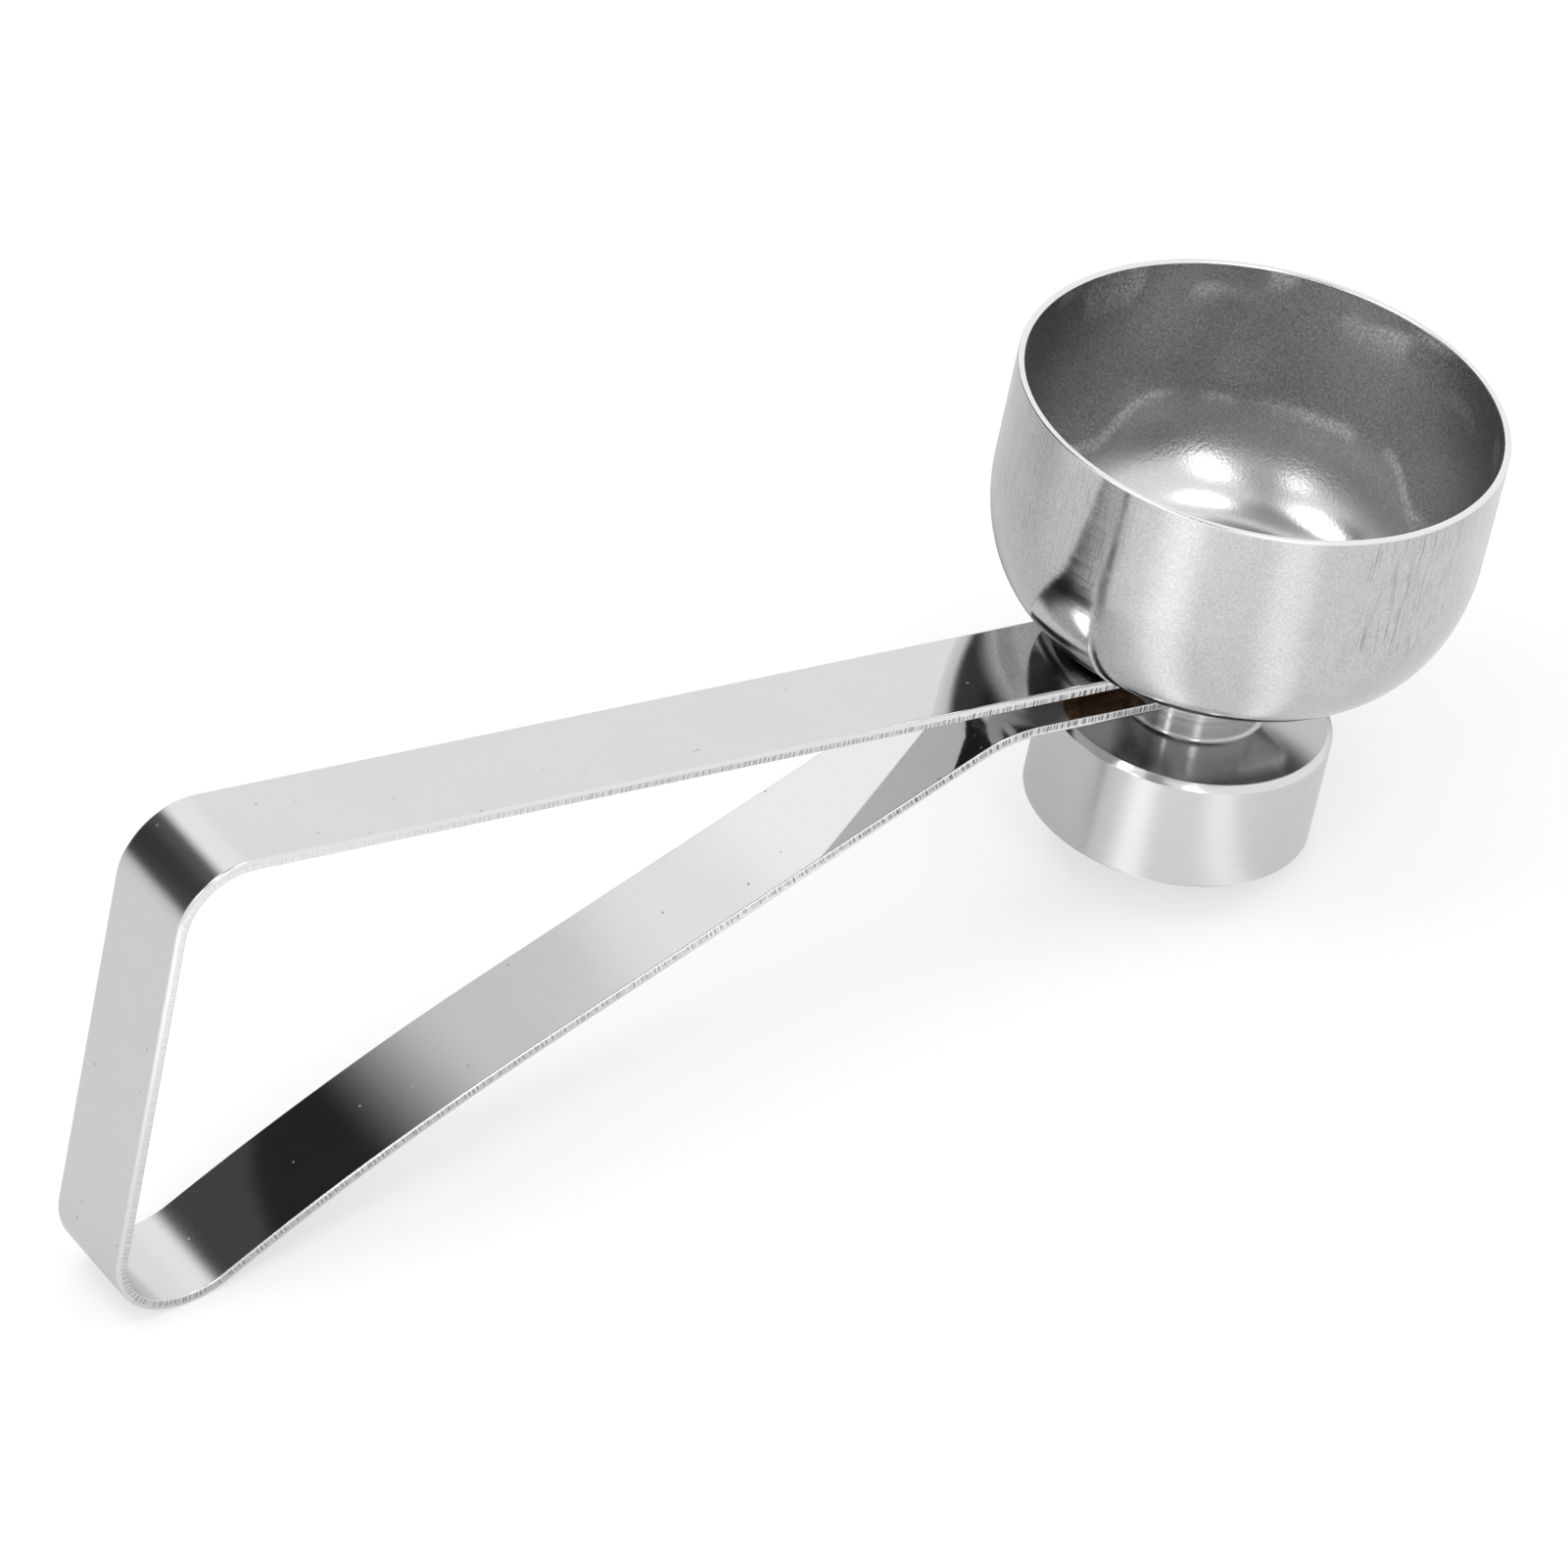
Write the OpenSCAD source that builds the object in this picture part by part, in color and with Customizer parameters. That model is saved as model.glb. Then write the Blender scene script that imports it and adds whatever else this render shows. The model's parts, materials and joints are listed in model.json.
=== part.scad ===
// Egg topper: a cup that is set over the end of an egg, and a weight that is drawn back
// on a springy strip handle and let go, so that it knocks on the base of the cup.
// The pieces are drawn about the head: Z is the axis of the cup and the weight, the cup's
// base is at Z = 0 and the handle runs along -X. at_rest() then lays the whole tool down
// as it lies on a table, on the heel of its handle and the far edge of its weight.

/* [Cup] */
// Outer diameter of the cup at its rim
cup_d = 40; // [36:0.5:46]
// Height of the cup from its base to its rim
cup_h = 21.6; // [17:0.1:28]
// Diameter of the flat base that sits on the handle
cup_base_d = 24; // [18:0.5:28]
// Height at which the rounding above the base has become the wall
cup_round_h = 11.5; // [7:0.5:15]
// Amount that the wall opens out between the rounding and the rim, on the radius
cup_flare = 0.1; // [0:0.05:0.6]
// Thickness of the cup's sheet
cup_wall = 0.6; // [0.4:0.05:1.2]
// Edge broken off each side of the ground rim
rim_break = 0.15; // [0.05:0.01:0.19]

/* [Handle strip] */
// Width of the strip
strip_w = 9.3; // [7:0.1:12]
// Thickness of the strip
strip_t = 1; // [0.7:0.05:1.4]
// Distance from the head's axis to the back of the handle
reach = 99.2; // [80:0.2:130]
// How far the upper leg runs past the head's axis
upper_tip = 9; // [6:0.5:11]
// How far the lower leg runs past the head's axis
lower_tip = 8; // [6:0.5:11]
// Radius of the corners at the strip's two ends
tip_corner_r = 1.5; // [0.5:0.1:3]

/* [Bends] */
// Inside radius of the upper rear bend
shoulder_r = 5.2; // [3:0.1:9]
// Straight length of the back, between the two rear bends
back_length = 31.4; // [24:0.2:40]
// Lean of the back towards the head, in degrees
back_lean = 1.5; // [0:0.5:6]
// Inside radius of the heel next to the back
heel_r = 5; // [3:0.1:8]
// Inside radius of the heel next to the lower leg
heel_lead_r = 7; // [5:0.1:12]
// Heading at which the heel changes from one radius to the other, in degrees
heel_change = -10; // [-30:1:10]
// Rise of the lower leg where it leaves the heel, in degrees
heel_rise = 37; // [32:1:42]
// Radius of the slow curve that eases the lower leg down to its own rise
ease_r = 200; // [120:5:320]
// Rise of the lower leg's straight run, in degrees
leg_rise = 28; // [24:0.5:31]
// Inside radius of the bend that brings the lower leg level under the head
knee_r = 11; // [6:0.5:20]
// Free gap between the two legs under the head, which closes at the knock
strike_gap = 2.2; // [1.5:0.1:4]
// Angle taken off the flexing joint's face, so that it has room to close
flex_relief = 1.5; // [1.2:0.1:3]

/* [Weight] */
// Diameter of the turned weight
weight_d = 23.6; // [18:0.2:30]
// Height of the weight without its neck
weight_h = 9.9; // [6:0.1:16]
// Chamfer round the weight's top edge
weight_chamfer = 0.7; // [0.2:0.1:1.5]
// Chamfer round the weight's bottom edge
weight_foot = 0.3; // [0.1:0.1:1]
// Diameter of the neck between the weight and the lower leg
neck_d = 11; // [8:0.5:14]
// Height of the neck
neck_h = 3.8; // [2:0.1:6]
// Radius of the fillet at the foot of the neck
neck_fillet = 0.5; // [0.2:0.1:1]

/* [Hidden] */
$fn = 160;

// Steps in a bend, in the slow curve, and in the cup's rounding
BEND_STEPS = 16;
EASE_STEPS = 6;
ROUND_STEPS = 24;
FILLET_STEPS = 6;
// Overlap that carries a cutting shape past what it cuts
PAST = 10;

cup_r = cup_d / 2;
base_r = cup_base_d / 2;
wall_foot_r = cup_r - cup_flare;
weight_r = weight_d / 2;
neck_r = neck_d / 2;

// Heights about the head
lower_leg_top = -strip_t - strike_gap;
lower_leg_bottom = lower_leg_top - strip_t;
weight_top = lower_leg_bottom - neck_h;
weight_bottom = weight_top - weight_h;

// A station is [x, z, heading in degrees] on the middle of the strip.
function ahead(s, l) = [s[0] + l * cos(s[2]), s[1] + l * sin(s[2]), s[2]];
function around(s, r, a) = let (k = a < 0 ? -1 : 1)
    [s[0] + k * r * (sin(s[2] + a) - sin(s[2])), s[1] - k * r * (cos(s[2] + a) - cos(s[2])), s[2] + a];
function bend(s, r, a, n) = [for (i = [1:n]) around(s, r, a * i / n)];
function last(v) = v[len(v) - 1];
function beside(s, d) = [s[0] - d * sin(s[2]), s[1] + d * cos(s[2])];

// Radii on the middle of the strip
half_t = strip_t / 2;
shoulder_mid = shoulder_r + half_t;
heel_mid = heel_r + half_t;
heel_lead_mid = heel_lead_r + half_t;
knee_mid = knee_r + half_t;

// The strip from the end of its upper leg to the end of its lower one
upper_end = [upper_tip, -half_t, 180];
shoulder_start = [-reach + shoulder_mid + half_t, -half_t, 180];
shoulder = bend(shoulder_start, shoulder_mid, 90 + back_lean, BEND_STEPS);
back_end = ahead(last(shoulder), back_length);
heel = bend(back_end, heel_mid, 360 + heel_change - back_end[2], BEND_STEPS);
heel_lead = bend(last(heel), heel_lead_mid, heel_rise - heel_change, BEND_STEPS);
ease = bend(last(heel_lead), ease_r, leg_rise - heel_rise, EASE_STEPS);
knee_climb = knee_mid * (1 - cos(leg_rise));
straight_run = (lower_leg_top - half_t - knee_climb - last(ease)[1]) / sin(leg_rise);
knee_start = ahead(last(ease), straight_run);
knee = bend(knee_start, knee_mid, -leg_rise, BEND_STEPS);
lower_end = [lower_tip, last(knee)[1], 360];

upper_path = concat([upper_end, shoulder_start], shoulder, [back_end]);
lower_path = concat([back_end], heel, heel_lead, ease, [knee_start], knee, [lower_end]);

// How the tool lies: a line touches the heel from below and passes under the weight's far edge
heel_centre = beside(last(heel), heel_lead_mid);
heel_skin = heel_lead_r + strip_t;
weight_edge = [weight_r - weight_foot, weight_bottom];
edge_run = weight_edge[0] - heel_centre[0];
edge_climb = weight_edge[1] - heel_centre[1];
rest_tilt = atan2(edge_climb, edge_run) + asin(heel_skin / norm([edge_run, edge_climb]));

// Where the table and the ends of the tool then are
function turned(p) = [p[0] * cos(rest_tilt) + p[1] * sin(rest_tilt), p[1] * cos(rest_tilt) - p[0] * sin(rest_tilt)];
table = turned(heel_centre)[1] - heel_skin;
rear = turned(beside(back_end, heel_mid))[0] - heel_mid - half_t;
front = turned([cup_r, cup_h - rim_break])[0];

module at_rest() {
    translate([-(rear + front) / 2, 0, -table]) rotate([0, rest_tilt, 0]) children();
}

// A length of strip along a path of stations, with its outline drawn in the XZ plane
module strip(path) {
    left = [for (s = path) beside(s, half_t)];
    right = [for (i = [len(path) - 1:-1:0]) beside(path[i], -half_t)];
    rotate([90, 0, 0]) linear_extrude(height = strip_w, center = true) polygon(concat(left, right));
}

// Plan of a strip that ends at x = tip with rounded corners
module strip_plan(tip) {
    low = -reach - PAST;
    inner = strip_w / 2 - tip_corner_r;
    translate([0, 0, -reach]) linear_extrude(height = 2 * reach) {
        translate([low, -strip_w / 2]) square([tip - tip_corner_r - low, strip_w]);
        translate([tip - 2 * tip_corner_r, -inner]) square([2 * tip_corner_r, 2 * inner]);
        for (side = [-1, 1]) translate([tip - tip_corner_r, side * inner]) circle(r = tip_corner_r);
    }
}

// Points of the cup's skin, d inside its outer face, from the base to the rim
function cup_round(d) = [for (i = [0:ROUND_STEPS])
    let (a = 90 * i / ROUND_STEPS, w = wall_foot_r - base_r,
        n = [cup_round_h * sin(a), -w * cos(a)] / norm([cup_round_h * sin(a), w * cos(a)]))
    [base_r + w * sin(a), cup_round_h * (1 - cos(a))] - d * n];

// Drawn sheet cup with a flat base, a rounded foot, a nearly straight wall and a ground rim
module cup() {
    outer = concat([[0, 0]], cup_round(0), [[cup_r, cup_h - rim_break], [cup_r - rim_break, cup_h]]);
    in_r = cup_r - cup_wall;
    inner = concat([[0, cup_wall]], cup_round(cup_wall), [[in_r, cup_h - rim_break], [in_r + rim_break, cup_h]]);
    color("silver") at_rest()
        rotate_extrude() polygon(concat(outer, [for (i = [len(inner) - 1:-1:0]) inner[i]]));
}

// Upper leg, rear bend and back of the one strip, up to where the handle flexes
module handle_upper_leg() {
    color("gainsboro") at_rest() intersection() {
        strip(upper_path);
        strip_plan(upper_tip);
    }
}

// Heel, rising leg and level end of the same strip, with the room that it needs to flex
module handle_lower_leg() {
    pivot = beside(back_end, -half_t);
    color("lightgray") at_rest() difference() {
        intersection() {
            strip(lower_path);
            strip_plan(lower_tip);
        }
        translate([pivot[0], 0, pivot[1]]) rotate([0, back_lean + flex_relief, 0])
            translate([0, -strip_w, 0]) cube([PAST, 2 * strip_w, PAST]);
    }
}

// Turned weight with its neck, whose top meets the underside of the lower leg
module weight() {
    f = neck_fillet;
    fillet = [for (i = [0:FILLET_STEPS]) let (a = 90 * i / FILLET_STEPS)
        [neck_r + f * (1 - sin(a)), weight_top + f * (1 - cos(a))]];
    color("darkgray") at_rest() rotate_extrude() polygon(concat([
        [0, weight_bottom],
        [weight_r - weight_foot, weight_bottom],
        [weight_r, weight_bottom + weight_foot],
        [weight_r, weight_top - weight_chamfer],
        [weight_r - weight_chamfer, weight_top]
    ], fillet, [[neck_r, lower_leg_bottom], [0, lower_leg_bottom]]));
}

cup();
handle_upper_leg();
handle_lower_leg();
weight();
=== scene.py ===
import json
from math import atan2, ceil, cos, degrees, hypot, pi, radians, sin

import bpy
from mathutils import Matrix, Vector


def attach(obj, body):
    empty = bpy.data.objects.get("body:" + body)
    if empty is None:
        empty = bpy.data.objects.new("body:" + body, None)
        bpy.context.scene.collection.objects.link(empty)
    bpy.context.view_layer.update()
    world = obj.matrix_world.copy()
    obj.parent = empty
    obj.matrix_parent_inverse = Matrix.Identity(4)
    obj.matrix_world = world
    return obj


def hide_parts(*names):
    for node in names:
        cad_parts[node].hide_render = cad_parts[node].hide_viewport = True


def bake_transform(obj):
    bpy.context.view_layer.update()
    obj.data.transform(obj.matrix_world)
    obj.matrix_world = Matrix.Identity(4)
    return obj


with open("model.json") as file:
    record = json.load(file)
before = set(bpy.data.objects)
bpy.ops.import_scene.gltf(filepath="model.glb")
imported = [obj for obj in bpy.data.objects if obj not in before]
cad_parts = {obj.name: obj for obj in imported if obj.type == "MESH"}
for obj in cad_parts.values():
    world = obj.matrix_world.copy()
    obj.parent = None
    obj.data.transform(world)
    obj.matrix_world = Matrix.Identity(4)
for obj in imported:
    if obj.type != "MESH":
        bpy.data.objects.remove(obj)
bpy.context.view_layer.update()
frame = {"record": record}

# ---------------------------------------------------------------- sizes, in metres
MM = 0.001
# Places closer than this are the same place
NEAR = 0.01 * MM
# Angle from which an edge stays sharp, in degrees, on sheet and on turned metal
SHEET_SHARP = 40
TURNED_SHARP = 30
# Share of an end's radius that the small disc at its middle takes
HUB_SHARE = 0.05

# The cup: drawn sheet with a flat base, a rounded foot and a ground rim
CUP_RADIUS = 20 * MM
CUP_HEIGHT = 21.6 * MM
CUP_BASE_RADIUS = 12 * MM
CUP_ROUND_HEIGHT = 11.5 * MM
CUP_FLARE = 0.1 * MM
CUP_WALL = 0.6 * MM
RIM_EDGE = 0.18 * MM
ROUND_STEPS = 40
WALL_STEPS = 8
RIM_STEPS = 5
CUP_SIDES = 288

# The handle: one strip, bent
STRIP_WIDTH = 9.3 * MM
STRIP_THICKNESS = 1 * MM
STRIP_EDGE = 0.3 * MM
INNER_EDGE_SHARE = 0.5
REACH = 99.2 * MM
UPPER_TIP = 9 * MM
LOWER_TIP = 8 * MM
TIP_CORNER = 1.5 * MM
TIP_STEPS = 8
SHOULDER_RADIUS = 5.2 * MM
BACK_LENGTH = 31.4 * MM
BACK_LEAN = 1.5
HEEL_RADIUS = 5 * MM
HEEL_LEAD_RADIUS = 7 * MM
HEEL_CHANGE = -10
HEEL_RISE = 37
EASE_RADIUS = 200 * MM
LEG_RISE = 28
KNEE_RADIUS = 11 * MM
STRIKE_GAP = 2.2 * MM
RUN_PITCH = 2 * MM
TURN_PITCH = 1
# Length of the back, next to the heel, that goes with the heel's piece
FLEXING_BACK = 10 * MM
# The weld's heat mark on the upper leg's underside, in millimetres: how far it lies behind the
# cup's axis and across the strip, and its radius
WELD_MARK_BACK = 10
WELD_MARK_ACROSS = -2
WELD_MARK_RADIUS = 3.8

# The weight: a turned disc with a neck
WEIGHT_RADIUS = 11.8 * MM
WEIGHT_HEIGHT = 9.9 * MM
WEIGHT_CHAMFER = 0.55 * MM
WEIGHT_FOOT = 0.3 * MM
NECK_RADIUS = 5.5 * MM
NECK_HEIGHT = 3.8 * MM
NECK_FILLET = 0.5 * MM
TURNED_EDGE = 0.05 * MM
FILLET_STEPS = 6
WEIGHT_SIDES = 256

HALF_T = STRIP_THICKNESS / 2
LOWER_LEG_TOP = -STRIP_THICKNESS - STRIKE_GAP
LOWER_LEG_BOTTOM = LOWER_LEG_TOP - STRIP_THICKNESS
WEIGHT_TOP = LOWER_LEG_BOTTOM - NECK_HEIGHT
WEIGHT_BOTTOM = WEIGHT_TOP - WEIGHT_HEIGHT


# ---------------------------------------------------------------- where the head stands
def head_place():
    """Turns head coordinates, with the cup's base at the origin and its axis along Z, into the frame."""
    base = next(m for m in frame["record"]["mounts"] if m["name"] == "weight_base")
    up = -Vector(base["axis"]).normalized()
    across = Vector((0, 1, 0))
    ahead = across.cross(up)
    place = Matrix((ahead, across, up)).transposed().to_4x4()
    place.translation = Vector(base["pos_m"]) - up * WEIGHT_BOTTOM
    return place


HEAD = head_place()


# ---------------------------------------------------------------- shader writing
class Socket:
    """An output of a shader node that can be used in plain arithmetic."""

    def __init__(self, shader, output):
        self.shader = shader
        self.output = output

    def math(self, operation, *others):
        terms = dict(enumerate((self, *others)))
        return self.shader.node("ShaderNodeMath", {"operation": operation}, terms)["Value"]

    def __add__(self, other):
        return self.math("ADD", other)

    def __sub__(self, other):
        return self.math("SUBTRACT", other)

    def __rsub__(self, other):
        return self.math("MULTIPLY_ADD", -1, other)

    def __mul__(self, other):
        return self.math("MULTIPLY", other)

    __radd__ = __add__
    __rmul__ = __mul__


class Node:
    """A shader node whose outputs are read by name or number."""

    def __init__(self, shader, node):
        self.shader = shader
        self.node = node

    def __getitem__(self, name):
        return Socket(self.shader, self.node.outputs[name])


class Shader:
    """Writes the node tree of one material or of the world."""

    def __init__(self, owner):
        owner.use_nodes = True
        self.tree = owner.node_tree
        self.tree.nodes.clear()

    def node(self, kind, settings=None, sockets=None):
        made = self.tree.nodes.new(kind)
        for name, value in (settings or {}).items():
            setattr(made, name, value)
        for name, value in (sockets or {}).items():
            if isinstance(value, Socket):
                self.tree.links.new(value.output, made.inputs[name])
            else:
                made.inputs[name].default_value = value
        return Node(self, made)

    def ease(self, value, low, high, start=0, end=1):
        """Goes smoothly from start to end as value goes from low to high."""
        settings = {"interpolation_type": "SMOOTHSTEP"}
        sockets = {"Value": value, "From Min": low, "From Max": high, "To Min": start, "To Max": end}
        return self.node("ShaderNodeMapRange", settings, sockets)["Result"]

    def blend(self, factor, first, second):
        """A colour between two colours."""
        sockets = {0: factor, 6: first, 7: second}
        return self.node("ShaderNodeMix", {"data_type": "RGBA"}, sockets)[2]

    def noise(self, place, scale, detail=2, stretch=(1, 1, 1)):
        """Noise from 0 to 1, with scale in patches per unit and stretch along each axis."""
        size = tuple(scale * s for s in stretch)
        at = self.node("ShaderNodeMapping", {}, {"Vector": place, "Scale": size})["Vector"]
        sockets = {"Vector": at, "Scale": 1, "Detail": detail, "Roughness": 0.5}
        return self.node("ShaderNodeTexNoise", {}, sockets)["Fac"]

    def bump(self, height, distance, normal=None):
        sockets = {"Height": height, "Distance": distance}
        if normal:
            sockets["Normal"] = normal
        return self.node("ShaderNodeBump", {}, sockets)["Normal"]

    def head_place(self):
        """Object coordinates turned to the head's own, with Z along its axis."""
        back = HEAD.inverted()
        place = self.node("ShaderNodeTexCoord")["Object"]
        sockets = {"Vector": place, "Location": back.translation, "Rotation": back.to_euler()}
        return self.node("ShaderNodeMapping", {}, sockets)["Vector"]

    def along_strip(self):
        """Distance along the strip and across it, in millimetres."""
        return self.node("ShaderNodeUVMap", {"uv_map": "along"})["UV"]

    def through_strip(self):
        """Distance across the strip, and depth from its middle towards the bow's inside, in millimetres."""
        return self.node("ShaderNodeUVMap", {"uv_map": "through"})["UV"]

    def apart(self, vector):
        split = self.node("ShaderNodeSeparateXYZ", {}, {0: vector})
        return split["X"], split["Y"], split["Z"]

    def together(self, x, y, z):
        return self.node("ShaderNodeCombineXYZ", {}, {0: x, 1: y, 2: z})["Vector"]

    def vector(self, operation, *terms):
        settings = {"operation": operation}
        return self.node("ShaderNodeVectorMath", settings, dict(enumerate(terms)))["Vector"]

    def rings(self, place):
        """Radius and height of a place about the head's axis, as a vector."""
        x, y, z = self.apart(place)
        return self.together((x * x + y * y).math("SQRT"), 0, z)

    def grooved(self, place, slope):
        """The normal, tipped to and fro by turning marks too fine to see, which smear light across them."""
        tip = (self.noise(self.rings(place), 80000, detail=0) - 0.5) * slope
        own = self.node("ShaderNodeTexCoord")
        axis = HEAD.to_3x3() @ Vector((0, 0, 1))
        arm = self.vector("SUBTRACT", own["Object"], HEAD.translation)
        around = self.vector("NORMALIZE", self.vector("CROSS_PRODUCT", axis, arm))
        across = self.vector("CROSS_PRODUCT", own["Normal"], around)
        tipped = self.vector("MULTIPLY_ADD", across, tip, own["Normal"])
        settings = {"vector_type": "NORMAL", "convert_from": "OBJECT", "convert_to": "WORLD"}
        return self.node("ShaderNodeVectorTransform", settings, {0: tipped})["Vector"]

    def metal(self, colour, roughness, normal=None):
        sockets = {"Base Color": colour, "Metallic": 1, "Roughness": roughness}
        if normal:
            sockets["Normal"] = normal
        shade = self.node("ShaderNodeBsdfPrincipled", {}, sockets)["BSDF"]
        self.node("ShaderNodeOutputMaterial", {}, {"Surface": shade})


def grey(level):
    return (level, level, level, 1)


def material(name):
    made = bpy.data.materials.new(name)
    return made, Shader(made)


# ---------------------------------------------------------------- finishes
def cup_outside_finish():
    """Satin polish with a fine grain, drawn out up the wall, and upright scratches on both sides."""
    made, m = material("cup_outside")
    place = m.head_place()
    x, _, height = m.apart(place)
    cloud = m.noise(place, 450, detail=2)
    grain = m.noise(place, 4500, detail=1)
    lines = m.noise(place, 9000, detail=1, stretch=(1, 1, 0.03))
    sides = m.ease(x, -4 * MM, -2 * MM) * m.ease(x, 4 * MM, 9 * MM, 1, 0.4)
    sides = sides + m.ease(x, -18.5 * MM, -16.5 * MM, 0.5, 0)
    groups = m.ease(m.noise(place, 260, detail=1), 0.3, 0.5) * sides * m.ease(height, 5 * MM, 12 * MM)
    scratches = m.ease(lines, 0.52, 0.68) * groups
    colour = m.blend(m.ease(grain, 0.25, 0.75) * 0.6 + cloud * 0.4, grey(0.49), grey(0.67))
    colour = m.blend(scratches * 0.6, colour, grey(0.22))
    normal = m.grooved(place, m.ease(height, 3 * MM, 10 * MM, 0.05, 0.25))
    m.metal(colour, m.ease(cloud, 0.3, 0.7, 0.1, 0.15), m.bump(grain, 0.001 * MM, normal))
    return made


def cup_inside_finish():
    """Tumbled matte with a grain and painted glints for its sparkle, paler towards the foot, with a painted
    highlight on a broken line above the foot and painted glints near the rim.
    """
    made, m = material("cup_inside")
    place = m.head_place()
    x, y, height = m.apart(place)
    grain = m.noise(place, 4000, detail=1)
    cloud = m.noise(place, 220, detail=0)
    # Painted glints: scattered pale specks for the sparkle of the grain
    glint_specks = m.ease(m.noise(place, 9000, detail=0), 0.66, 0.74)
    # Painted highlight: a pale broken arc where the wall turns into the foot, higher at the back than at
    # the sides
    foot = x * 0.05 + 8.5 * MM - m.ease(y, 0, 5 * MM, 3 * MM, 0) - m.ease(x, -1 * MM, 4.5 * MM, 3 * MM, 0)
    above = height - foot
    line = m.ease(above, -1.1 * MM, 0) * m.ease(above, 0, 0.9 * MM, 1, 0) * m.ease(cloud, 0.35, 0.55)
    # Painted glints in pale clouds near the rim
    rim = m.ease(height, 16 * MM, 20 * MM) * m.ease(cloud, 0.55, 0.67)
    # Painted highlights: the arc and the glints near the rim, broken up by fine noise
    painted_highlights = (line + rim) * m.ease(m.noise(place, 3500, detail=1), 0.4, 0.6, 0.25, 0.75)
    bottom = m.ease(height, 1.5 * MM, 7 * MM, 1, 0)
    pale = m.ease(above, -2 * MM, 0.5 * MM, 0.3, 0)
    colour = m.blend(m.ease(grain, 0.25, 0.75), grey(0.31), grey(0.45))
    colour = m.blend(pale + bottom * 0.65, colour, grey(0.66))
    # Painted highlights and painted glints go on as near white
    colour = m.blend(painted_highlights + glint_specks * 0.5, colour, grey(0.9))
    roughness = 0.32 - bottom * 0.1
    m.metal(colour, roughness, m.bump(grain, (1.2 - bottom) * 0.02 * MM))
    return made


def cup_rim_finish():
    """Ground edge of the cup's sheet."""
    made, m = material("cup_rim")
    grain = m.noise(m.head_place(), 6000)
    m.metal(grey(0.78), m.ease(grain, 0.3, 0.7, 0.2, 0.3), m.bump(grain, 0.005 * MM))
    return made


def specks(m, place, pitch, size, share):
    """Scattered round specks, at most one in each pitch. A larger share gives more of them."""
    cells = m.node("ShaderNodeTexVoronoi", {"feature": "F1"}, {"Vector": place, "Scale": 1 / pitch})
    dots = m.ease(cells["Distance"], size / pitch * 0.5, size / pitch, 1, 0)
    return dots * m.ease(m.noise(place, 0.4 / pitch), 0.62 - share, 0.66 - share)


def strip_face_finish():
    """Mirror polish, a little wavy, with hairlines and dust, duller bends and a brown weld mark."""
    made, m = material("strip_face")
    place = m.along_strip()
    along, across, _ = m.apart(place)
    _, depth, _ = m.apart(m.through_strip())
    cloud = m.noise(place, 0.12, detail=2)
    grain = m.noise(place, 4, detail=1)
    wave = m.noise(place, 0.07, detail=0)
    hairlines = m.ease(m.noise(place, 7, detail=1, stretch=(0.05, 1, 1)), 0.6, 0.72)
    dust = specks(m, place, 1.6, 0.17, 0.14)

    # The bends are duller than the legs: the shoulder at 102 to 111 mm along and the heel at 142.5 to 156
    shoulder = m.ease(along, 101, 103) * m.ease(along, 112, 116, 1, 0)
    heel = m.ease(along, 142, 144) * m.ease(along, 155.5, 158, 1, 0)

    # The weld mark lies on the upper leg's paler underside, behind the cup's axis, in a dull haze
    mark_along = along - (UPPER_TIP / MM + WELD_MARK_BACK)
    mark_across = across - WELD_MARK_ACROSS
    from_mark = (mark_along * mark_along + mark_across * mark_across).math("SQRT")
    underside = m.ease(depth, 0.2, 0.3)
    mark = m.ease(from_mark, WELD_MARK_RADIUS - 0.2, WELD_MARK_RADIUS, 1, 0) * underside
    burnt = m.ease(from_mark, WELD_MARK_RADIUS - 1.6, WELD_MARK_RADIUS - 0.8, 1, 0)
    streaks = m.ease(m.noise(place, 1.2, detail=2), 0.35, 0.65)
    brown = m.blend(streaks, (0.2, 0.09, 0.04, 1), (0.45, 0.27, 0.14, 1))
    brown = m.blend(burnt * 0.7, brown, (0.12, 0.08, 0.05, 1))

    colour = m.blend(cloud * 0.5 + grain * 0.5, grey(0.63), grey(0.69))
    haze = m.ease(from_mark, WELD_MARK_RADIUS + 6, WELD_MARK_RADIUS + 14, 1, 0) * underside
    pale = m.ease(from_mark, WELD_MARK_RADIUS + 30, WELD_MARK_RADIUS + 50, 1, 0) * underside
    colour = m.blend(dust * 0.5, colour, grey(0.3))
    colour = m.blend(pale, colour, grey(0.87))
    colour = m.blend(mark, colour, brown)
    roughness = m.ease(cloud, 0.3, 0.7, 0.03, 0.05) + hairlines * 0.03 + dust * 0.5 + haze * 0.08
    m.metal(colour, roughness + shoulder * 0.16 + heel * 0.2, m.bump(wave, 0.04 * MM))
    return made


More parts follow.
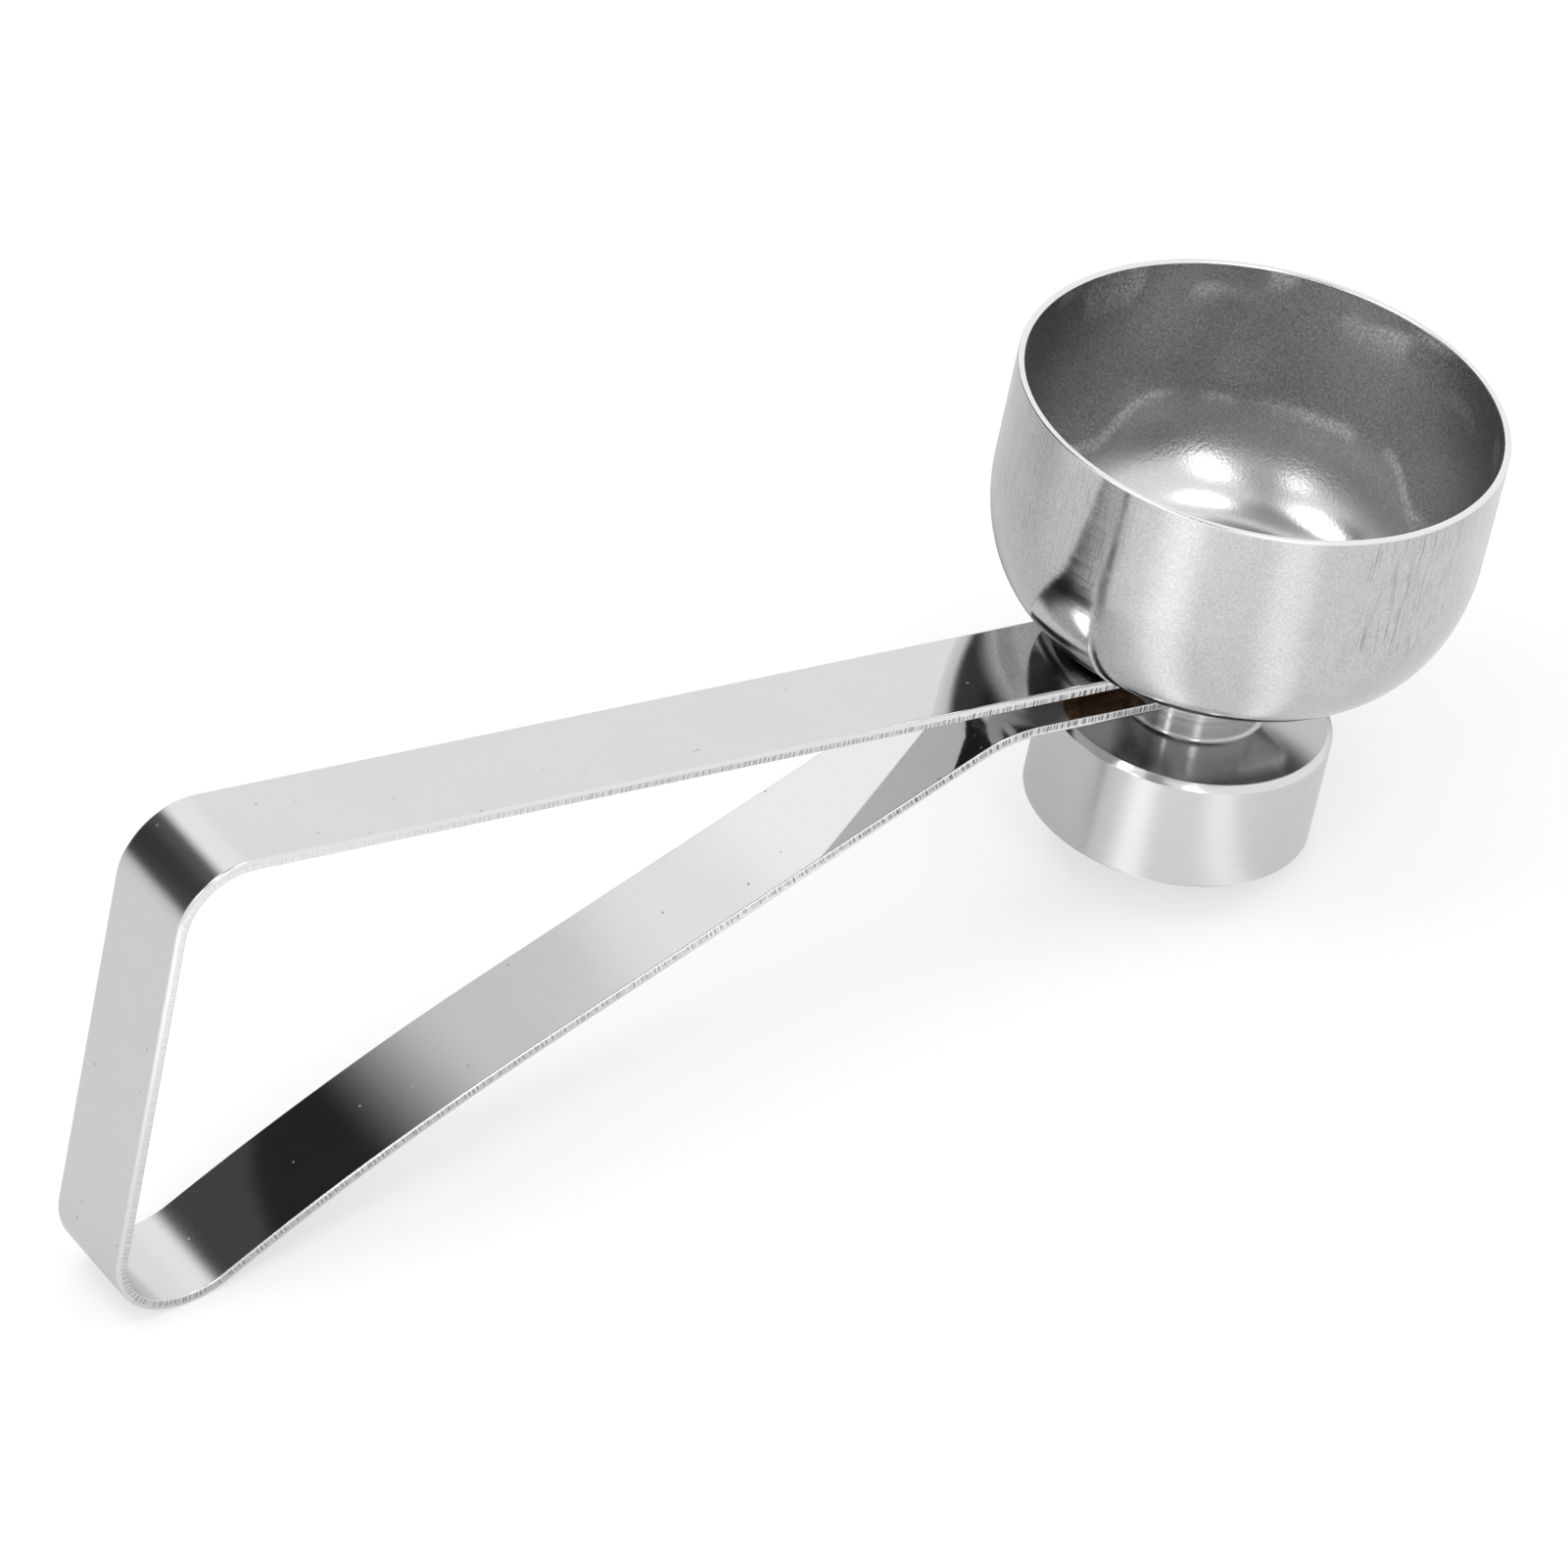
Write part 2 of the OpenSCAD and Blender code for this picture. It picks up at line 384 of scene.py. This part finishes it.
def strip_edge_finish():
    """Sheared edge: smooth over its outer half, with the cutter's short cross marks on its inner half."""
    made, m = material("strip_edge")
    along, _, _ = m.apart(m.along_strip())
    _, depth, _ = m.apart(m.through_strip())
    line = m.together(along, 0, 0)
    vary = m.noise(line, 1.3, detail=1)
    torn = m.ease(depth + (vary - 0.5) * 0.4, -0.14, -0.04) * m.ease(depth, 0.36, 0.44, 1, 0)

    # Bold marks near the head, fine ones elsewhere and almost none on the shoulder and the back
    head = m.ease(along, 20, 50, 1, 0) + m.ease(along, 200, 235)
    worn = m.ease(along, 60, 95) * m.ease(along, 135, 150, 1, 0)
    bold = m.node("ShaderNodeTexVoronoi", {"voronoi_dimensions": "1D"}, {"W": along, "Scale": 2.6})
    bold = m.ease(bold["Distance"], 0.1, 0.22, 1, 0) * m.ease(vary, 0.35, 0.6, 0.35, 0.9)
    fine = m.ease(m.noise(line, 5, detail=0), 0.42, 0.62)
    dark = torn * (bold * head + fine * (0.6 - worn * 0.45))
    m.metal(m.blend(dark, grey(0.72), grey(0.12)), 0.2 + torn * 0.12)
    return made


def turned_finish():
    """Fine turning marks, rings on the ends and round the side, with a few pits, and painted shade on the
    top face and the neck.
    """
    made, m = material("turned")
    place = m.head_place()
    _, _, height = m.apart(place)
    lines = m.noise(m.rings(place), 7000, detail=1)
    pits = specks(m, place, 3 * MM, 0.12 * MM, 0.05)
    # Painted shade: the top face and the neck are darker grey
    painted_top_shade = m.ease(height, WEIGHT_TOP - 0.1 * MM, WEIGHT_TOP)
    colour = m.blend(lines, grey(0.64), grey(0.7))
    colour = m.blend(painted_top_shade, colour, grey(0.48))
    colour = m.blend(pits * 0.6, colour, grey(0.1))
    slope = m.ease(height, WEIGHT_TOP - 0.7 * MM, WEIGHT_TOP - 0.3 * MM, 1.2, 0.3)
    slope = slope + m.ease(height, WEIGHT_TOP + 0.1 * MM, WEIGHT_TOP + 0.5 * MM, 0, 1.1)
    m.metal(colour, 0.12 + pits * 0.3, m.grooved(place, slope))
    return made


# ---------------------------------------------------------------- modelling helpers
def only(piece):
    """Leaves one piece selected and active, in object mode."""
    if bpy.context.object and bpy.context.object.mode != "OBJECT":
        bpy.ops.object.mode_set(mode="OBJECT")
    bpy.ops.object.select_all(action="DESELECT")
    if piece:
        piece.select_set(True)
        bpy.context.view_layer.objects.active = piece


def pick(piece, kind, chosen):
    """Opens a piece for editing with the faces or edges selected for which chosen is true."""
    only(piece)
    bpy.ops.object.mode_set(mode="EDIT")
    bpy.ops.mesh.select_mode(type="FACE" if kind == "polygons" else "EDGE")
    bpy.ops.mesh.select_all(action="DESELECT")
    bpy.ops.object.mode_set(mode="OBJECT")
    for part in getattr(piece.data, kind):
        part.select = chosen(part)
    bpy.ops.object.mode_set(mode="EDIT")


def modifier(piece, kind, **settings):
    """Adds a modifier and applies it."""
    only(piece)
    made = piece.modifiers.new(kind, kind)
    for name, value in settings.items():
        setattr(made, name, value)
    bpy.ops.object.modifier_apply(modifier=made.name)


def into_place(piece):
    """Moves a piece that was modelled about the head into the frame, with its place in its mesh."""
    only(piece)
    piece.matrix_world = HEAD
    bpy.ops.object.transform_apply(location=True, rotation=True, scale=True)


def smooth(piece, angle):
    """Shades a piece smooth, with flat faces kept flat up to their rounded edges."""
    only(piece)
    bpy.ops.object.shade_smooth_by_angle(angle=radians(angle))
    modifier(piece, "WEIGHTED_NORMAL", keep_sharp=True, weight=100)


def turned(name, profile, sides):
    """A shape of revolution: a disc, then a ring extruded and resized for each further (radius, height)."""
    only(None)
    radius, height = profile[0]
    bpy.ops.mesh.primitive_circle_add(vertices=sides, radius=radius, fill_type="NGON")
    piece = bpy.context.object
    piece.name = name
    bpy.ops.object.mode_set(mode="EDIT")
    bpy.ops.mesh.select_all(action="SELECT")
    bpy.ops.transform.translate(value=(0, 0, height))
    for next_radius, next_height in profile[1:]:
        bpy.ops.mesh.extrude_region_move(TRANSFORM_OT_translate={"value": (0, 0, next_height - height)})
        scale = next_radius / radius
        bpy.ops.transform.resize(value=(scale, scale, 1), center_override=(0, 0, next_height))
        radius, height = next_radius, next_height
    bpy.ops.mesh.select_all(action="SELECT")
    bpy.ops.mesh.normals_make_consistent(inside=False)
    bpy.ops.object.mode_set(mode="OBJECT")
    return piece


# ---------------------------------------------------------------- the cup
def cup_skin(depth):
    """Points of the rounded foot, depth inside the outer face, from the base upwards."""
    reach = CUP_RADIUS - CUP_FLARE - CUP_BASE_RADIUS
    points = []
    for i in range(ROUND_STEPS + 1):
        a = pi / 2 * i / ROUND_STEPS
        out = Vector((CUP_ROUND_HEIGHT * sin(a), -reach * cos(a))).normalized()
        x = CUP_BASE_RADIUS + reach * sin(a) - depth * out.x
        z = CUP_ROUND_HEIGHT * (1 - cos(a)) - depth * out.y
        points.append((x, z))
    return points


def wall_rise(depth):
    """Points of the nearly straight wall between the rounding and the rim."""
    foot = CUP_RADIUS - CUP_FLARE - depth
    rise = CUP_HEIGHT - RIM_EDGE - CUP_ROUND_HEIGHT
    shares = [i / WALL_STEPS for i in range(1, WALL_STEPS + 1)]
    return [(foot + CUP_FLARE * s, CUP_ROUND_HEIGHT + rise * s) for s in shares]


def rim_round(radius, start, end):
    """Points of a small rounding on the ground rim, from one angle to another."""
    angles = [radians(start + (end - start) * i / RIM_STEPS) for i in range(1, RIM_STEPS + 1)]
    return [(radius + RIM_EDGE * cos(a), CUP_HEIGHT - RIM_EDGE + RIM_EDGE * sin(a)) for a in angles]


def cup_face_finish(face):
    """Which of the cup's finishes a face has: 0 outside, 1 inside, 2 rim."""
    x, y, z = face.center
    nx, ny, nz = face.normal
    if z > CUP_HEIGHT - RIM_EDGE:
        return 2
    inwards = x * nx + y * ny < 0
    on_floor = nz > 0.5 and z < CUP_ROUND_HEIGHT
    return 1 if inwards or on_floor else 0


def make_cup():
    outside = cup_skin(0) + wall_rise(0) + rim_round(CUP_RADIUS - RIM_EDGE, 0, 90)
    inside = rim_round(CUP_RADIUS - CUP_WALL + RIM_EDGE, 90, 180)
    inside += wall_rise(CUP_WALL)[-2::-1] + cup_skin(CUP_WALL)[::-1]
    floor = [(CUP_BASE_RADIUS * share, CUP_WALL) for share in (0.7, 0.3, HUB_SHARE)]
    cup = turned("cup_drawn", outside + inside + floor, CUP_SIDES)
    for finish in (cup_outside_finish(), cup_inside_finish(), cup_rim_finish()):
        cup.data.materials.append(finish)
    for face in cup.data.polygons:
        face.material_index = cup_face_finish(face)
    into_place(cup)
    smooth(cup, SHEET_SHARP)
    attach(cup, "cup_and_handle")
    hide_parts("cup")


# ---------------------------------------------------------------- the handle strip
class Leg:
    """One run or turn of the strip's middle line, which starts at (x, z) on a heading in degrees."""

    def __init__(self, x, z, heading, before, size, angle=0):
        self.x, self.z, self.heading, self.before = x, z, heading, before
        self.size, self.angle = size, angle
        self.side = 1 if angle > 0 else -1
        self.length = size * radians(abs(angle)) if angle else size
        self.centre = self.beside(x, z, heading, self.side * size)

    @staticmethod
    def beside(x, z, heading, distance):
        return x - distance * sin(radians(heading)), z + distance * cos(radians(heading))

    def at(self, length):
        """Place and heading at a length along the leg."""
        if not self.angle:
            h = radians(self.heading)
            return self.x + length * cos(h), self.z + length * sin(h), self.heading
        heading = self.heading + self.angle * length / self.length
        x, z = self.beside(*self.centre, heading, -self.side * self.size)
        return x, z, heading

    def nearest(self, x, z):
        """How far a point is from the leg, the length beside it, and its depth towards the bow's inside."""
        if self.angle:
            start = radians(self.heading) - self.side * pi / 2
            turn = self.side * (atan2(z - self.centre[1], x - self.centre[0]) - start)
            turn = (turn + pi) % (2 * pi) - pi
            length = min(max(turn * self.size, 0), self.length)
        else:
            h = radians(self.heading)
            length = min(max((x - self.x) * cos(h) + (z - self.z) * sin(h), 0), self.length)
        px, pz, heading = self.at(length)
        depth = (z - pz) * cos(radians(heading)) - (x - px) * sin(radians(heading))
        return hypot(x - px, z - pz), self.before + length, depth

    def end(self):
        return *self.at(self.length), self.before + self.length


def strip_legs():
    """The strip's runs and turns, from the end of the upper leg to the end of the lower one."""
    shoulder = SHOULDER_RADIUS + HALF_T
    knee = KNEE_RADIUS + HALF_T
    legs = [Leg(UPPER_TIP, -HALF_T, 180, 0, UPPER_TIP + REACH - shoulder - HALF_T)]

    def add(size, angle=0):
        legs.append(Leg(*legs[-1].end(), size, angle))

    add(shoulder, 90 + BACK_LEAN)
    add(BACK_LENGTH)
    add(HEEL_RADIUS + HALF_T, 90 + HEEL_CHANGE - BACK_LEAN)
    add(HEEL_LEAD_RADIUS + HALF_T, HEEL_RISE - HEEL_CHANGE)
    add(EASE_RADIUS, LEG_RISE - HEEL_RISE)
    climb = LOWER_LEG_TOP - HALF_T - knee * (1 - cos(radians(LEG_RISE))) - legs[-1].end()[1]
    add(climb / sin(radians(LEG_RISE)))
    add(knee, -LEG_RISE)
    add(LOWER_TIP - legs[-1].end()[0])
    return legs


def bend_strip(legs):
    """The whole strip: a flat section, extruded along each run and spun round each turn."""
    tip = (UPPER_TIP, 0, -HALF_T)
    only(None)
    bpy.ops.mesh.primitive_plane_add(size=1, rotation=(0, pi / 2, 0), location=tip)
    strip = bpy.context.object
    bpy.ops.object.transform_apply(location=True, rotation=True, scale=True)
    bpy.ops.object.mode_set(mode="EDIT")
    bpy.ops.mesh.select_all(action="SELECT")
    bpy.ops.transform.resize(value=(1, STRIP_WIDTH, STRIP_THICKNESS), center_override=tip)
    for leg in legs:
        steps = max(ceil(leg.length / RUN_PITCH), ceil(abs(leg.angle) / TURN_PITCH))
        if leg.angle:
            centre = (leg.centre[0], 0, leg.centre[1])
            turn = radians(abs(leg.angle))
            bpy.ops.mesh.spin(steps=steps, angle=turn, center=centre, axis=(0, leg.side, 0))
        else:
            x, z, _ = leg.at(leg.length / steps)
            step = (x - leg.x, 0, z - leg.z)
            for _ in range(steps):
                bpy.ops.mesh.extrude_region_move(TRANSFORM_OT_translate={"value": step})
    bpy.ops.mesh.select_all(action="SELECT")
    bpy.ops.mesh.normals_make_consistent(inside=False)
    bpy.ops.object.mode_set(mode="OBJECT")
    return strip


def round_tips(strip):
    """Rounds the four corners of the strip's two ends in plan."""

    def corner(edge):
        a, b = (strip.data.vertices[i].co for i in edge.vertices)
        upright = hypot(a.x - b.x, a.y - b.y) < NEAR
        return upright and min(abs(a.x - UPPER_TIP), abs(a.x - LOWER_TIP)) < NEAR

    pick(strip, "edges", corner)
    bpy.ops.mesh.bevel(offset=TIP_CORNER, segments=TIP_STEPS, affect="EDGES")
    bpy.ops.object.mode_set(mode="OBJECT")


def round_edges(strip, legs):
    """Rounds the strip's long edges: rolled over on the bow's outside, nearly sharp on its inside."""
    only(strip)
    bpy.ops.object.mode_set(mode="EDIT")
    bpy.ops.mesh.select_mode(type="EDGE")
    bpy.ops.mesh.select_all(action="DESELECT")
    bpy.ops.mesh.edges_select_sharp(sharpness=radians(SHEET_SHARP))
    bpy.ops.object.mode_set(mode="OBJECT")
    shares = strip.data.attributes.new("bevel_weight_edge", "FLOAT", "EDGE")
    for edge in strip.data.edges:
        if edge.select:
            a, b = (strip.data.vertices[i].co for i in edge.vertices)
            _, _, depth = min(leg.nearest((a.x + b.x) / 2, (a.z + b.z) / 2) for leg in legs)
            shares.data[edge.index].value = INNER_EDGE_SHARE if depth > 0 else 1
    modifier(strip, "BEVEL", width=STRIP_EDGE, segments=4, limit_method="WEIGHT")


def map_strip(strip, legs):
    """Lays two maps over the strip, in millimetres: along and across it, and across and through it."""
    places = []
    for point in strip.data.vertices:
        _, length, depth = min(leg.nearest(point.co.x, point.co.z) for leg in legs)
        places.append((length / MM, point.co.y / MM, depth / MM))
    along = strip.data.uv_layers.new(name="along")
    through = strip.data.uv_layers.new(name="through")
    for loop in strip.data.loops:
        length, across, depth = places[loop.vertex_index]
        along.data[loop.index].uv = (length, across)
        through.data[loop.index].uv = (across, depth)


def cut_off(strip, name, start, end):
    """Parts the stretch of the strip between two lengths from the rest."""
    along = [loop.uv.x * MM for loop in strip.data.uv_layers["along"].data]

    def within(face):
        middle = sum(along[i] for i in face.loop_indices) / face.loop_total
        return start < middle < end

    pick(strip, "polygons", within)
    bpy.ops.mesh.separate(type="SELECTED")
    bpy.ops.object.mode_set(mode="OBJECT")
    part = next(o for o in bpy.context.selected_objects if o != strip)
    part.name = name
    return part


def close_cuts(part):
    only(part)
    bpy.ops.object.mode_set(mode="EDIT")
    bpy.ops.mesh.select_mode(type="EDGE")
    bpy.ops.mesh.select_all(action="DESELECT")
    bpy.ops.mesh.select_non_manifold()
    bpy.ops.mesh.fill_holes(sides=0)
    bpy.ops.object.mode_set(mode="OBJECT")


def make_strip():
    legs = strip_legs()
    strip = bend_strip(legs)
    round_tips(strip)
    round_edges(strip, legs)
    map_strip(strip, legs)
    strip.data.materials.append(strip_face_finish())
    strip.data.materials.append(strip_edge_finish())
    for face in strip.data.polygons:
        face.material_index = 1 if abs(face.normal.y) > 0.3 else 0
    into_place(strip)

    _, _, back, heel, _, ease, _, _, level_end = legs
    flex_start = heel.before - FLEXING_BACK
    flex_end = ease.before
    upper = cut_off(strip, "strip_upper", 0, flex_start)
    lower = cut_off(strip, "strip_lower", flex_end, level_end.before + level_end.length)
    strip.name = "strip_heel"
    for part in (upper, strip, lower):
        close_cuts(part)
        smooth(part, SHEET_SHARP)
    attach(upper, "cup_and_handle")
    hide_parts("handle_upper_leg")
    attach(lower, "striker")
    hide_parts("handle_lower_leg")
    x, z, _ = back.at(back.length - FLEXING_BACK)
    start = HEAD @ Vector((x, 0, z))
    x, z, _ = ease.at(0)
    end = HEAD @ Vector((x, 0, z))
    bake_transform(strip)


# ---------------------------------------------------------------- the weight
def make_weight():
    angles = [pi / 2 * i / FILLET_STEPS for i in range(FILLET_STEPS + 1)]
    fillet = [
        (NECK_RADIUS + NECK_FILLET * (1 - sin(a)), WEIGHT_TOP + NECK_FILLET * (1 - cos(a))) for a in angles
    ]
    base = [
        (HUB_SHARE * WEIGHT_RADIUS, WEIGHT_BOTTOM),
        (WEIGHT_RADIUS - WEIGHT_FOOT, WEIGHT_BOTTOM),
        (WEIGHT_RADIUS, WEIGHT_BOTTOM + WEIGHT_FOOT),
        (WEIGHT_RADIUS, WEIGHT_TOP - WEIGHT_CHAMFER),
        (WEIGHT_RADIUS - WEIGHT_CHAMFER, WEIGHT_TOP),
    ]
    neck = [(NECK_RADIUS, LOWER_LEG_BOTTOM), (HUB_SHARE * NECK_RADIUS, LOWER_LEG_BOTTOM)]
    weight = turned("weight_turned", base + fillet + neck, WEIGHT_SIDES)
    limit = radians(TURNED_SHARP)
    modifier(weight, "BEVEL", width=TURNED_EDGE, segments=3, limit_method="ANGLE", angle_limit=limit)
    weight.data.materials.append(turned_finish())
    into_place(weight)
    smooth(weight, TURNED_SHARP)
    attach(weight, "striker")
    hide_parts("weight")


# ---------------------------------------------------------------- camera, floor and light
CAMERA_AZIMUTH = -30.9542
CAMERA_ELEVATION = 41.9296
CAMERA_ROLL = -1.5449
CAMERA_DISTANCE = 1.27518
CAMERA_AIM = Vector((-0.00019, -0.00015, 0.02265))
CAMERA_LENS = 370.9
SENSOR = 36
FLOOR_SIZE = 0.8
SOFTBOX_DISTANCE = 0.9
SOFTBOX_LEVEL = 5


def make_camera():
    a, e, roll = radians(CAMERA_AZIMUTH), radians(CAMERA_ELEVATION), radians(CAMERA_ROLL)
    back = Vector((sin(a) * cos(e), -cos(a) * cos(e), sin(e)))
    level = Vector((cos(a), sin(a), 0))
    upright = back.cross(level)
    right = level * cos(roll) + upright * sin(roll)
    up = upright * cos(roll) - level * sin(roll)
    data = bpy.data.cameras.new("camera")
    data.lens = CAMERA_LENS
    data.sensor_width = SENSOR
    data.clip_start = 0.05
    data.clip_end = 20
    camera = bpy.data.objects.new("camera", data)
    place = Matrix((right, up, back)).transposed().to_4x4()
    place.translation = CAMERA_AIM + back * CAMERA_DISTANCE
    camera.matrix_world = place
    bpy.context.scene.collection.objects.link(camera)
    bpy.context.scene.camera = camera


def make_floor():
    """White paper that keeps the object's shadow. Where metal mirrors it, it is a little greyer, with a
    painted shadow of the head and painted pools of light.

    It stays under the weight, so that a drawn handle stands on it too.
    """
    only(None)
    bpy.ops.mesh.primitive_plane_add(size=FLOOR_SIZE)
    floor = bpy.context.object
    floor.name = "floor"
    made, m = material("white_floor")
    x, y, _ = m.apart(m.node("ShaderNodeTexCoord")["Object"])
    x = x - HEAD.translation.x
    reach = (x * x + y * y).math("SQRT")
    azimuth = x.math("ARCTAN2", y) * degrees(1)
    path = m.node("ShaderNodeLightPath")

    # Metal mirrors a painted shadow of the head, a painted pool of light below each softbox and paper
    # painted dimmer behind the handle
    behind = m.ease(azimuth, -30, 0) * m.ease(azimuth, 60, 90, 1, 0) * m.ease(reach, 20 * MM, 60 * MM, 1, 0)
    lit = m.ease(azimuth, -110, -85, 1, 0) + m.ease(azimuth, 20, 60)
    left_pool = m.ease(azimuth, -132, -119) * m.ease(azimuth, -117, -103, 1, 0)
    right_pool = m.ease(azimuth, -178, -165) * m.ease(azimuth, -163, -149, 1, 0)
    dim = m.ease(azimuth, -62, -45) * m.ease(azimuth, -15, 0, 1, 0) * m.ease(reach, 80 * MM, 120 * MM)
    plain = m.ease(reach, 80 * MM, 120 * MM, 0.2, 0.32) * (1 - dim)
    mirrored = (lit * 0.2 + left_pool * 0.4 + right_pool * 0.3 + plain) * (1 - behind)

    # Painted shadow: in reflections only, the paper is dark behind the head
    shade = m.blend(path["Is Glossy Ray"] * behind * 0.8, grey(0.45), grey(0))
    paper = m.node("ShaderNodeBsdfDiffuse", {}, {"Color": shade})["BSDF"]
    # Painted light: in reflections only, the paper glows, most in the pools below the softboxes
    seen = (path["Is Camera Ray"] + path["Is Transmission Ray"]) * 0.52 + path["Is Glossy Ray"] * mirrored
    glow = m.node("ShaderNodeEmission", {}, {"Color": grey(1), "Strength": seen})
    both = m.node("ShaderNodeAddShader", {}, {0: paper, 1: glow["Emission"]})["Shader"]
    m.node("ShaderNodeOutputMaterial", {}, {"Surface": both})
    floor.data.materials.append(made)
    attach(floor, "striker")


def make_world():
    """White surroundings. Metal mirrors a studio in them: pale walls, a dark flag and a dim ceiling."""
    world = bpy.data.worlds.new("surroundings")
    bpy.context.scene.world = world
    w = Shader(world)
    x, y, z = w.apart(w.node("ShaderNodeTexCoord")["Generated"])
    azimuth = x.math("ARCTAN2", y) * degrees(1)
    elevation = z.math("ARCSINE") * degrees(1)

    # The wall right of the flag: grey at first, then white, then a little less so further round
    window = w.ease(azimuth + (elevation - 50.4) * 0.22, 0.3, 2.2)
    further = w.ease(azimuth, 4, 10) + w.ease(azimuth, 28, 42)
    left_wall = w.ease(azimuth + (elevation - 40).math("MAXIMUM", 0) * 1.3, -66, -52, 1, 0)
    wall = 0.8 + left_wall * 0.2 + window * 0.455 - further * 0.1

    # The flag, with a slightly paler lower panel
    right_end = w.ease(azimuth + (elevation - 50) * 0.35, -12.5, -2.5, 1, 0)
    upright = w.ease(elevation, -3, 11.5) * w.ease(elevation, 56, 61, 1, 0)
    flag = right_end * upright * (1 - left_wall)
    panel = w.ease(elevation - azimuth * 0.03, 48.1, 48.4, 1, 0) * w.ease(azimuth, -36, -24)
    level = wall * (1 - flag) + (panel * 0.054 + 0.023) * flag

    # The dim ceiling, and the camera's dark gap between the softboxes
    ceiling = w.ease(elevation, 68, 80)
    gap = w.ease(azimuth, -155, -148) * w.ease(azimuth, -128, -121, 1, 0) * w.ease(elevation, 35, 42)
    level = level * (1 - ceiling * 0.7) * (1 - gap * 0.6)

    mirrored = w.node("ShaderNodeLightPath")["Is Glossy Ray"]
    strength = level * mirrored + (1 - mirrored)
    shade = w.node("ShaderNodeBackground", {}, {"Color": grey(1), "Strength": strength})["Background"]
    w.node("ShaderNodeOutputWorld", {}, {"Surface": shade})


def make_softbox(name, azimuth, elevation, width, height):
    """A soft lamp that faces the object. Its width and height are in degrees."""
    a, e = radians(azimuth), radians(elevation)
    data = bpy.data.lights.new(name, "AREA")
    data.shape = "RECTANGLE"
    data.size = SOFTBOX_DISTANCE * radians(width)
    data.size_y = SOFTBOX_DISTANCE * radians(height)
    data.energy = SOFTBOX_LEVEL * pi * data.size * data.size_y
    lamp = bpy.data.objects.new(name, data)
    lamp.location = Vector((sin(a) * cos(e), cos(a) * cos(e), sin(e))) * SOFTBOX_DISTANCE
    lamp.rotation_euler = lamp.location.to_track_quat("Z", "Y").to_euler()
    lamp.visible_camera = False
    bpy.context.scene.collection.objects.link(lamp)


def main():
    make_cup()
    make_strip()
    make_weight()
    make_camera()
    make_floor()
    make_world()
    make_softbox("softbox_left", -116, 44, 6, 16)
    make_softbox("softbox_right", -175, 42, 8, 22)
    make_softbox("overhead_left", -66, 71, 20, 14)
    make_softbox("overhead_right", 131, 67, 13, 11)
    bpy.context.scene.view_settings.view_transform = "Standard"


main()
